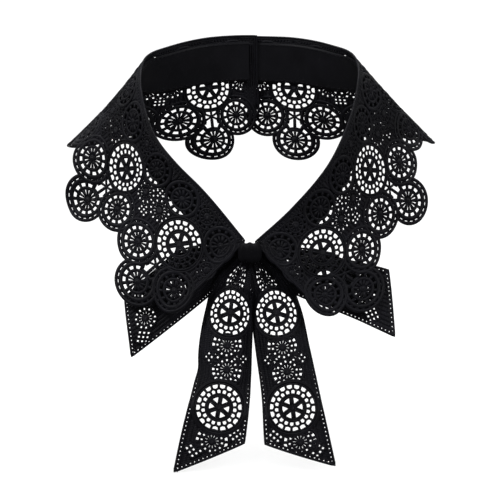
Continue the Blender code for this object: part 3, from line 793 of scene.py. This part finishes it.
def in_blocks(points, centres, pitch, turn):
    """True where a point is inside a block of net round any of the centres."""
    away = rotated(points[:, None] - np.asarray(centres, dtype=float), -turn)
    return np.any(np.abs(away).max(axis=-1) < NET_HOLES * pitch / 2, axis=1)


def satin(low, high, lace, turn, keep):
    """The ground: parallel stitches, a pitch apart, that fill the region of keep()."""
    pitch = lace.satin_pitch / MM
    nodes = lattice(low, high, (SATIN_STEP, pitch), turn)
    lines = cut_to(np.stack([nodes[:-1], nodes[1:]], axis=2), low, high, keep)
    return Cord(lines, False, pitch * SATIN_WIDTH, sizes(lace)[3] * SATIN_HEIGHT)


def outside(points, circles):
    """True where a point is outside every circle, given as rows of centre and radius."""
    away = np.linalg.norm(points[:, None] - circles[None, :, :2], axis=2)
    return np.all(away > circles[:, 2], axis=1)


def rounded(points, spacing):
    """An open line with extra points, evenly spaced on each of its straight runs."""
    line = []
    for here, there in zip(points, points[1:]):
        count = max(1, int(round(math.dist(here, there) / spacing)))
        part = np.arange(count)[:, None] / count
        line.append(np.array(here) + (np.array(there) - np.array(here)) * part)
    line.append(np.array([points[-1]], dtype=float))
    return np.concatenate(line)[None]


def ladder(start, end, reach, pitch):
    """Short bars square to a straight run, all on its left, a pitch apart."""
    start, end = np.array(start, dtype=float), np.array(end, dtype=float)
    length = np.linalg.norm(end - start)
    course = (end - start) / length
    left = np.array([-course[1], course[0]]) * reach
    feet = start + course * np.arange(pitch / 2, length, pitch)[:, None]
    return np.stack([feet, feet + left], axis=1)


# --- The charts -----------------------------------------------------------------------------------
def band_chart(side, lace):
    """All cords of one half of the band, in flat pattern coordinates."""
    heavy, middle, fine, tall = sizes(lace)
    start = -LAP if side == "left" else 0.0
    columns = REPEAT * (np.arange(REPEATS_A_SIDE) + 0.5)

    def centres(*offsets):
        return np.array([(column + along, down) for column in columns for along, down in offsets])

    tops = [(-TOP_WHEEL[0], TOP_WHEEL[1]), TOP_WHEEL]
    shallow = [(-SHALLOW_WHEEL[0], SHALLOW_WHEEL[1]), SHALLOW_WHEEL]
    little = [(-SMALL_WHEEL[0], SMALL_WHEEL[1]), SMALL_WHEEL, TOP_SMALL_WHEEL]
    rim = (-104.0, 214.0)
    mirrored = (180.0 - rim[1], 180.0 - rim[0])
    squares, arched = turns(12, 0.25), np.radians(np.arange(-30.0, 211.0, 30.0))
    motifs = [
        (medallion(lace), centres((0.0, MEDALLION_DOWN)), MEDALLION_EDGE),
        (wheel(lace, squares, None) + broad_ring(lace), centres(*tops), WHEEL_EDGE),
        (wheel(lace, squares, rim) + broad_ring(lace), centres(shallow[1]), WHEEL_EDGE),
        (wheel(lace, squares, mirrored) + broad_ring(lace), centres(shallow[0]), WHEEL_EDGE),
        (wheel(lace, arched, (-19.0, 199.0)) + arched_top(lace), centres(DEEP_WHEEL), WHEEL_EDGE),
        (small_wheel(lace), centres(*little), SMALL_WHEEL_EDGE),
        (filler_star(lace), centres(FILLER), FILLER_EDGE),
    ]
    cords, circles = [], []
    for motif, places, edge in motifs:
        cords.extend(at_centres(motif, places))
        circles.append(np.column_stack([places, np.full(len(places), edge)]))
    circles = np.concatenate(circles)

    hem_u, hem_v = np.array([(-REPEAT / 2, SHALLOW_WHEEL[1]), shallow[0], DEEP_WHEEL, shallow[1],
                             (REPEAT / 2, SHALLOW_WHEEL[1])]).T

    pitch = lace.net_pitch / MM
    blocks = [(REPEAT * count, down) for count in range(REPEATS_A_SIDE + 1)
              for down in NET_BLOCKS]

    def inside(points):
        """Inside the edge cords and above the line through the hem wheels."""
        u, v = points.T
        local = np.mod(u, REPEAT) - REPEAT / 2
        clear = (v > 2.0) & (u > start + 2.0) & (u < FRONT_END - 0.8)
        return (v < np.interp(local, hem_u, hem_v)) & clear & (u - FRONT_END + CORNER < v - 1.2)

    def open_ground(points):
        """Inside, and outside every motif."""
        return inside(points) & outside(points, circles)

    def filled_ground(points):
        """Where the satin goes: outside every block of net too."""
        return open_ground(points) & ~in_blocks(points, blocks, pitch, 0.0)

    cords.append(satin((start, 0.0), (FRONT_END, SATIN_DOWN), lace, 0.0, filled_ground))
    cords.append(Cord(net(blocks, pitch, 0.0, open_ground), False, fine, tall * 0.7))

    # The padded edge, the cord inside it, the cord below the neck's ladder and the folded ends.
    corner = FRONT_END - CORNER
    back, front, neck = start + 0.7, FRONT_END - 0.8, 0.75
    edge = [(back, 50.0), (back, neck), (corner - 0.4, neck), (front, CORNER + 0.6), (front, 60.0)]
    if side == "left":
        edge = [(-0.9, 55.0), *edge]
    back, front, neck = start + 2.1, FRONT_END - 2.1, 2.0
    inset = [(back, 47.0), (back, neck), (corner - 1.2, neck), (front, CORNER + 1.4), (front, 58.0)]
    lower = [(start + 2.4, 4.3), (corner - 2.0, 4.3)]
    for folded, deepest in ((np.arange(start + 3.4, 4.6, 1.4), 49.0),
                            (FRONT_END - np.arange(3.4, 7.8, 1.4), 27.0)):
        lines = [rounded([(u, 4.0), (u, deepest)], 2.4)[0] for u in folded]
        cords.append(Cord(np.stack(lines), False, 1.7, tall * 0.7))
    cords += [
        Cord(rounded(edge, 1.6), False, heavy, tall),
        Cord(rounded(inset, 1.8), False, middle, tall * 0.85),
        Cord(rounded(lower, 2.0), False, middle, tall * 0.85),
        Cord(ladder((start + 3.0, 2.2), (corner - 2.0, 2.2), 1.9, 2.0), False, 2.1, tall * 0.7),
    ]
    return [cord._replace(lines=fitted(cord.lines)) for cord in cords]


def fitted(lines):
    """The lines with the last few millimetres before the front end eased in to that end.

    along = limit + (along - limit) * share, past the limit.
    """
    limit = FRONT_END - EASE
    furthest = REPEAT * (REPEATS_A_SIDE - 0.5) + SHALLOW_WHEEL[0] + WHEEL_RIM + 0.9
    share = (FRONT_END - limit) / (furthest - limit)
    u = lines[..., 0]
    eased = np.where(u > limit, limit + (u - limit) * share, u)
    return np.stack([eased, lines[..., 1]], axis=-1)


def tail_chart(tail, lace):
    """All cords of a tail: railed edges, medallions, small wheels and a diamond net."""
    heavy, middle, fine, tall = sizes(lace)
    half, top = TAIL_WIDTH / 2, -TAIL_HIDDEN
    medallions, wheels = np.array(tail.medallions), np.array(tail.small_wheels)
    is_long = len(medallions) > 1
    rim = MEDALLION_EDGE + 0.7 if is_long else STAR_EDGE
    cords = at_centres(medallion(lace)[:None if is_long else STAR_CORDS], medallions)
    cords += at_centres([Cord(ring(rim, 64), True, 1.8, tall * 0.85)], medallions)
    cords += at_centres(small_wheel(lace), wheels)
    circles = np.concatenate([
        np.column_stack([medallions, np.full(len(medallions), rim)]),
        np.column_stack([wheels, np.full(len(wheels), SMALL_WHEEL_EDGE)])])
    slope = (tail.length_right - tail.length_left) / TAIL_WIDTH
    run = math.hypot(1.0, slope)

    def end_at(side, back):
        """Length of the cut at a distance from the middle, drawn back square to the cut."""
        return tail.length_left + (side + half) * slope - back * run

    pitch = lace.net_pitch / MM * TAIL_NET_STRETCH

    def inside(points):
        """Between the inner rails, before the cut."""
        s, w = points.T
        return (s > top) & (np.abs(w) < TAIL_RAIL) & (s < end_at(w, 2.7))

    for centre in wheels if is_long else ():
        for turn in (90.0, 270.0):
            angles = np.arange(turn - 44.0, turn + 45.0, 4.0)
            clear = angles[inside(centre + arc(SLIT_EDGE, angles[0], angles[-1], len(angles))[0])]
            if len(clear) > 3:
                cords += at_centres(slit_arcs(lace, clear[0], clear[-1]), [centre])

    def open_ground(points):
        """Inside, and outside every motif."""
        return inside(points) & outside(points, circles)

    def filled_ground(points):
        """Where the satin goes: outside the slits and every block of net too."""
        away = points[:, None] - wheels
        slits = ((np.linalg.norm(away, axis=2) < SLIT_EDGE)
                 & (np.abs(away[..., 1]) > 0.97 * np.abs(away[..., 0])))
        return (open_ground(points) & ~(is_long & np.any(slits, axis=1))
                & ~in_blocks(points, tail.nets, pitch, 45.0))

    longest = max(tail.length_left, tail.length_right)
    cords.append(satin((top, -half), (longest, half), lace, 90.0, filled_ground))
    cords.append(Cord(net(tail.nets, pitch, 45.0, open_ground), False, fine * 1.3, tall * 0.7))
    outline, rail = [
        [(top, -edge), (end_at(-edge, back), -edge), (end_at(edge, back), edge), (top, edge)]
        for edge, back in ((half - 0.75, 0.75), (TAIL_RAIL, 2.6))]
    cords.append(Cord(rounded(outline, 1.6), False, heavy, tall))
    cords.append(Cord(rounded(rail, 1.6), False, middle, tall * 0.9))
    for one, other in zip(outline, outline[1:]):
        rail_rungs = ladder(one, other, half - 0.75 - TAIL_RAIL, 2.6)
        cords.append(Cord(rail_rungs, False, 1.95, tall * 0.7))
    return cords


# --- Materials ------------------------------------------------------------------------------------
WAVE_PERIOD = 0.314      # length of one band of a wave texture at scale 1


def known_material(name, make, **values):
    """The named material, made once, on its first use."""
    return bpy.data.materials.get(name) or make(name, **values)


def new_material(name, colour):
    """A node material with its tree and shader, ready for its own pattern."""
    made = bpy.data.materials.new(name)
    made.use_nodes = True
    made.diffuse_color = (*colour, 1.0)
    return made, made.node_tree, made.node_tree.nodes["Principled BSDF"]


def add_node(tree, kind, **values):
    """A node with its settings and its unlinked inputs filled in by name."""
    node = tree.nodes.new(kind)
    for key, value in values.items():
        if key in node.inputs:
            node.inputs[key].default_value = value
        else:
            setattr(node, key, value)
    return node


def wire(tree, *wires):
    """Links: each from a node's named output to a node's named input."""
    for source, output, target, socket in wires:
        tree.links.new(source.outputs[output], target.inputs[socket])


def fill(node, values):
    """Fills in a node's inputs by name."""
    for socket, value in values.items():
        node.inputs[socket].default_value = value


def varied_colour(tree, shader, colour, scale, share):
    """Base colour that drifts between a darker and a lighter dye in soft patches."""
    place = add_node(tree, "ShaderNodeTexCoord")
    noise = add_node(tree, "ShaderNodeTexNoise", Scale=scale, Detail=4.0, Roughness=0.6)
    ramp = add_node(tree, "ShaderNodeValToRGB")
    for stop, position, factor in zip(ramp.color_ramp.elements, (0.32, 0.7),
                                      (1 - share, 1 + share)):
        stop.position = position
        stop.color = (*(value * factor for value in colour), 1.0)
    wire(tree, (place, "Object", noise, "Vector"), (noise, "Fac", ramp, "Fac"),
         (ramp, "Color", shader, "Base Color"))
    return place, noise


def thread_relief(tree, shader, pattern, grain, share, depth, roughness, place, patches):
    """Relief of a pattern mixed with a grain, and a roughness that follows the dye's patches.

    pattern is a node and its output, grain the scale of the noise and share how much it adds.
    depth is the strength and the distance of the relief.
    """
    noise = add_node(tree, "ShaderNodeTexNoise", Scale=grain, Detail=3.0)
    both = add_node(tree, "ShaderNodeMix", data_type="FLOAT", Factor=share)
    bump = add_node(tree, "ShaderNodeBump", Strength=depth[0], Distance=depth[1])
    rough = add_node(tree, "ShaderNodeMapRange")
    fill(rough, {"To Min": roughness[0], "To Max": roughness[1]})
    wire(tree, (place, "Object", noise, "Vector"), (*pattern, both, "A"), (noise, "Fac", both, "B"),
         (both, "Result", bump, "Height"), (bump, "Normal", shader, "Normal"),
         (patches, "Fac", rough, "Value"), (rough, "Result", shader, "Roughness"))


def lace_thread_material(name, lace):
    """Cotton thread laid over cords: slanted stitches along the cord, fluff and uneven dye."""
    made, tree, shader = new_material(name, lace.thread)
    place, patches = varied_colour(tree, shader, lace.thread, scale=55.0, share=0.35)
    cord = add_node(tree, "ShaderNodeUVMap", uv_map="along_and_round")
    slant = add_node(tree, "ShaderNodeMapping", Rotation=(0.0, 0.0, math.radians(24.0)))
    stitches = add_node(tree, "ShaderNodeTexWave", Scale=WAVE_PERIOD / (lace.stitch / MM),
                        Distortion=1.2, Detail=2.0)
    wire(tree, (cord, "UV", slant, "Vector"), (slant, "Vector", stitches, "Vector"))
    thread_relief(tree, shader, (stitches, "Fac"), grain=2600.0, share=0.35,
                  depth=(0.7, 0.00012), roughness=(0.38, 0.56), place=place, patches=patches)
    fill(shader, {"Specular IOR Level": 0.026})
    return made


def ribbed_cloth_material(name, colour, rib, slant, sheen, gloss):
    """Plain woven cloth: ribs across the piece, finer yarns along it, and a soft uneven sheen.

    rib is the distance between two ribs in millimetres, and slant turns them by some degrees.
    """
    made, tree, shader = new_material(name, colour)
    place, patches = varied_colour(tree, shader, colour, scale=38.0, share=0.25)
    cloth = add_node(tree, "ShaderNodeUVMap", uv_map="along_and_round")
    turn = add_node(tree, "ShaderNodeMapping", Rotation=(0.0, 0.0, math.radians(slant)))
    ribs = add_node(tree, "ShaderNodeTexWave", Scale=WAVE_PERIOD / rib, Distortion=0.4,
                    Detail=1.0)
    yarns = add_node(tree, "ShaderNodeTexWave", bands_direction="Y",
                     Scale=WAVE_PERIOD / rib * 1.7, Distortion=0.6, Detail=1.0)
    weave = add_node(tree, "ShaderNodeMix", data_type="FLOAT", Factor=0.4)
    wire(tree, (cloth, "UV", turn, "Vector"), (turn, "Vector", ribs, "Vector"),
         (turn, "Vector", yarns, "Vector"), (ribs, "Fac", weave, "A"), (yarns, "Fac", weave, "B"))
    thread_relief(tree, shader, (weave, "Result"), grain=150.0, share=0.5, depth=(0.6, 0.00015),
                  roughness=(0.38, 0.6), place=place, patches=patches)
    fill(shader, {"Specular IOR Level": gloss, "Sheen Weight": sheen, "Sheen Roughness": 0.4})
    return made


def floor_material(name, colour):
    """Matt paper with a faint uneven tone."""
    made, tree, shader = new_material(name, colour)
    varied_colour(tree, shader, colour, scale=3.0, share=0.01)
    fill(shader, {"Roughness": 0.9, "Specular IOR Level": 0.1})
    return made


# --- Operators ------------------------------------------------------------------------------------
class LACECOLLAR_OT_band(bpy.types.Operator):
    """Lays the corded lace of both halves of the band round the neck"""

    bl_idname = "lace_collar.band"
    bl_label = "Lace band"

    def execute(self, context):
        lace = context.scene.lace_collar_lace
        finish = known_material("lace thread", lace_thread_material, lace=lace)
        for side in SIDES:
            ground, cords = lace_pieces(
                ("corded_lace_band_" + side, "padded_cords_" + side), band_chart(side, lace), lace,
                finish, band_surface(side), from_neck,
                lambda u, v: hem_ripple(u, v, lace.ripple / MM))
            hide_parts("lace_band_" + side)
        return {"FINISHED"}


class LACECOLLAR_OT_ribbon(bpy.types.Operator):
    """Sews the plain ribbon inside the neck edge of both halves"""

    bl_idname = "lace_collar.ribbon"
    bl_label = "Neck ribbon"

    def execute(self, context):
        ribbon = context.scene.lace_collar_ribbon
        lace = context.scene.lace_collar_lace
        cloth = known_material("neck ribbon", ribbed_cloth_material, colour=ribbon.colour,
                               rib=0.62, slant=0.0, sheen=0.006, gloss=0.022)
        thread = known_material("lace thread", lace_thread_material, lace=lace)
        for side in SIDES:
            self.sew(side, ribbon, cloth, thread)
        return {"FINISHED"}

    def sew(self, side, ribbon, cloth, thread):
        """One ribbon as a thin shell behind the lace, with running stitches near both edges."""
        place = band_surface(side)
        start, width = RIBBON_STARTS[side], ribbon.width / MM
        length = RIBBON_FRONT_END - start
        u, part = np.meshgrid(np.linspace(start, RIBBON_FRONT_END, RIBBON_ROWS),
                              np.linspace(0.0, 1.0, RIBBON_COLUMNS), indexing="ij")
        v = RIBBON_TOP + part * self.depth(u, width)
        middle = place(u, v)
        normal, right_handed = outward(place, u, v, from_neck(middle))
        depth = -RIBBON_BEHIND - self.pucker(u, v, width)
        wall = ribbon.thickness / MM / 2
        outer, inner = [middle + normal * level[..., None] for level in (depth + wall, depth - wall)]
        parts = Parts()
        parts.add(*sheet_grid(outer, inner, length, width, False), not right_handed)
        piece = parts.piece("satin_ribbon_" + side, cloth)
        starts = np.arange(start + SEAM_STARTS, RIBBON_FRONT_END - SEAM_ENDS,
                           ribbon.stitch_spacing / MM)
        runs = starts[:, None] + np.linspace(0.0, STITCH_LENGTH, 4)
        levels = (np.full_like(runs, SEAM_INSET), self.depth(runs, width) - SEAM_INSET)
        stitches = [np.stack([runs, RIBBON_TOP + level], axis=-1) for level in levels]
        sewn = Parts()
        lay_cords(sewn, [Cord(np.concatenate(stitches), False, *SEAM_THREAD)], place, from_neck,
                  lambda u, v: -RIBBON_BEHIND - wall - self.pucker(u, v, width))
        seam = sewn.piece("ribbon_stitches_" + side, thread)
        for thing, slot in ((piece, "neck_ribbon"), (seam, "lace_thread")):
            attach(thing, "root")
        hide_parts("neck_ribbon_" + side)

    @staticmethod
    def depth(u, width):
        """Width that shows: the full width at the back, less what is turned up in front."""
        along, down = RIBBON_BOTTOM.T
        return width - (down[0] - np.interp(u, along, down))

    def pucker(self, u, v, width):
        """Shallow puckers between the two rows of stitches: sine along, half sine across."""
        across = np.sin(np.pi * np.clip((v - RIBBON_TOP) / self.depth(u, width), 0.0, 1.0))
        short, long = [np.sin(2 * np.pi * u / length) for length in PUCKER_LENGTHS]
        return PUCKER_DEPTH * across * (1.0 + short * long)


class LACECOLLAR_OT_tails(bpy.types.Operator):
    """Hangs the two long tails and the two side tails from the knot"""

    bl_idname = "lace_collar.tails"
    bl_label = "Lace tails"

    def execute(self, context):
        lace = context.scene.lace_collar_lace
        finish = known_material("lace thread", lace_thread_material, lace=lace)
        for name, tail in TAILS.items():
            ground, cords = lace_pieces(
                ("corded_" + name, "padded_cords_" + name), tail_chart(tail, lace), lace, finish,
                tail_surface(tail), from_chest, lambda u, v: np.zeros_like(u))
            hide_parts(name)
        return {"FINISHED"}


class LACECOLLAR_OT_knot(bpy.types.Operator):
    """Wraps the folded cloth of the knot round the gathered strips"""

    bl_idname = "lace_collar.knot"
    bl_label = "Bow knot"

    def execute(self, context):
        knot = context.scene.lace_collar_knot
        cloth = known_material("knot cloth", ribbed_cloth_material, colour=knot.colour,
                               rib=0.5, slant=8.0, sheen=0.002, gloss=0.009)
        outer = self.wrap(knot, 0.0)
        inner = self.wrap(knot, knot.thickness / MM)
        middle = outer[:, KNOT_COLUMNS // 2]
        length = float(np.linalg.norm(np.diff(middle, axis=0), axis=1).sum())
        parts = Parts()
        parts.add(*sheet_grid(outer, inner, length, KNOT_SIZE[0], True))
        piece = parts.piece("wrapped_knot", cloth)
        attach(piece, "root")
        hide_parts("bow_knot")
        return {"FINISHED"}

    @staticmethod
    def wrap(knot, sunk):
        """The wrap's surface as a function of the way round and the way across.

        Section = a squared oval, half a size * |cos a|^squareness and |sin a|^squareness. It is
        drawn in by the folds, depth * (1 - cos(folds * pi * t + sin a / 2)) / 2, and at its two
        edges by t^4.
        """
        angle, t = np.meshgrid(2.0 * np.pi * np.arange(KNOT_ROWS) / KNOT_ROWS,
                               np.linspace(-1.0, 1.0, KNOT_COLUMNS), indexing="ij")
        across, down, out = chest_frame()
        half = np.array(KNOT_SIZE) / 2
        reach, rise = [np.sign(wave) * np.abs(wave) ** KNOT_SQUARENESS
                       for wave in (np.cos(angle), np.sin(angle))]
        fold = knot.fold_depth / MM * (1.0 - np.cos(knot.folds * np.pi * t
                                                    + np.sin(angle) / 2.0)) / 2.0
        drawn_in = fold + KNOT_EDGE_FALL * t ** 4 + sunk
        share = 1.0 - drawn_in / half[1]
        side = half[0] * t * (1.0 - 0.06 * np.cos(2.0 * angle))
        centre = np.array(CHEST_POINT) + sum(
            value * way for value, way in zip(KNOT_CENTRE, (across, down, out)))
        return (centre + side[..., None] * across + (half[1] * reach * share)[..., None] * down
                + (half[2] * rise * share)[..., None] * out)


class LACECOLLAR_OT_stage(bpy.types.Operator):
    """Sets the floor with its curved backdrop, the soft lights and the camera"""

    bl_idname = "lace_collar.stage"
    bl_label = "Stage"

    def execute(self, context):
        stage = context.scene.lace_collar_stage
        self.backdrop(stage)
        self.lights(context, stage)
        self.camera(context, stage)
        return {"FINISHED"}

    def backdrop(self, stage):
        """A profile of floor, quarter circle and wall carried sideways in a straight line."""
        radius = BACKDROP_RADIUS
        angle = np.linspace(0.0, np.pi / 2, stage.steps)
        curve = np.stack([FLOOR_BACK + radius * np.sin(angle), radius * (1.0 - np.cos(angle))], -1)
        profile = np.concatenate([[(FLOOR_FRONT, 0.0)], curve,
                                  [(FLOOR_BACK + radius, BACKDROP_HEIGHT)]])
        across = np.linspace(-FLOOR_HALF_WIDTH, FLOOR_HALF_WIDTH, 3)
        points = np.empty((len(across), len(profile), 3))
        points[..., 0] = across[:, None]
        points[..., 1:] = profile + (0.0, FLOOR_LEVEL)
        quads = grid_quads(len(across), len(profile))
        parts = Parts()
        parts.add(points.reshape(-1, 3) / MM, [quads], [np.zeros((len(quads), 4, 2))])
        paper = known_material("studio floor", floor_material, colour=stage.floor)
        parts.piece("studio_backdrop", paper)

    def lights(self, context, stage):
        """Three lights for the cloth, one for the floor alone, and an even white surround."""
        groups = {name: bpy.data.collections.new(name) for name in ("lit cloth", "lit paper")}
        for piece in context.scene.objects:
            if piece.type == "MESH":
                lit = "lit paper" if piece.name == "studio_backdrop" else "lit cloth"
                groups[lit].objects.link(piece)
        for lamp in LAMPS:
            light = bpy.data.lights.new(lamp.name, "AREA")
            light.shape = "DISK"
            light.size = lamp.size
            light.energy = lamp.power * stage.light
            thing = bpy.data.objects.new(lamp.name, light)
            thing.location = lamp.place
            away = np.array(lamp.place) - np.array(LAMP_TARGET)
            turn = math.atan2(away[0], -away[1])
            thing.rotation_euler = (math.acos(away[2] / np.linalg.norm(away)), 0.0, turn)
            context.scene.collection.objects.link(thing)
            thing.light_linking.receiver_collection = groups[lamp.lit]
            thing.light_linking.blocker_collection = groups[lamp.lit]
        world = bpy.data.worlds.new("studio surround")
        world.use_nodes = True
        surround = world.node_tree.nodes["Background"]
        surround.inputs["Color"].default_value = (1.0, 1.0, 1.0, 1.0)
        surround.inputs["Strength"].default_value = SURROUND * stage.light
        context.scene.world = world
        context.scene.view_settings.view_transform = "Standard"

    def camera(self, context, stage):
        """A camera in front of the collar that looks down on it."""
        lens = bpy.data.cameras.new("camera")
        lens.lens = stage.lens
        lens.sensor_width = 36.0
        lens.clip_start = 0.01
        thing = bpy.data.objects.new("camera", lens)
        thing.location = CAMERA_PLACE
        thing.rotation_euler = (math.radians(CAMERA_TILT), 0.0, 0.0)
        context.scene.collection.objects.link(thing)
        context.scene.camera = thing


class LACECOLLAR_PT_panel(bpy.types.Panel):
    """Sizes, colours and makers of the lace collar"""

    bl_label = "Lace collar"
    bl_idname = "LACECOLLAR_PT_panel"
    bl_space_type = "VIEW_3D"
    bl_region_type = "UI"
    bl_category = "Lace collar"

    def draw(self, context):
        scene = context.scene
        for title, group in (("Lace", scene.lace_collar_lace), ("Ribbon", scene.lace_collar_ribbon),
                             ("Knot", scene.lace_collar_knot), ("Stage", scene.lace_collar_stage)):
            box = self.layout.box()
            box.label(text=title)
            for key in group.__annotations__:
                box.prop(group, key)
        for operator in OPERATORS:
            self.layout.operator(operator.bl_idname)


GROUPS = {
    "lace_collar_lace": LaceCollarLaceSettings,
    "lace_collar_ribbon": LaceCollarRibbonSettings,
    "lace_collar_knot": LaceCollarKnotSettings,
    "lace_collar_stage": LaceCollarStageSettings,
}
OPERATORS = (LACECOLLAR_OT_band, LACECOLLAR_OT_ribbon, LACECOLLAR_OT_tails, LACECOLLAR_OT_knot,
             LACECOLLAR_OT_stage)


def register():
    for name, group in GROUPS.items():
        bpy.utils.register_class(group)
        setattr(bpy.types.Scene, name, PointerProperty(type=group))
    for thing in (*OPERATORS, LACECOLLAR_PT_panel):
        bpy.utils.register_class(thing)


def unregister():
    for thing in (LACECOLLAR_PT_panel, *reversed(OPERATORS)):
        bpy.utils.unregister_class(thing)
    for name, group in reversed(GROUPS.items()):
        delattr(bpy.types.Scene, name)
        bpy.utils.unregister_class(group)


def main():
    register()
    bpy.ops.lace_collar.band()
    bpy.ops.lace_collar.ribbon()
    bpy.ops.lace_collar.tails()
    bpy.ops.lace_collar.knot()
    bpy.ops.lace_collar.stage()


if __name__ == "__main__":
    main()
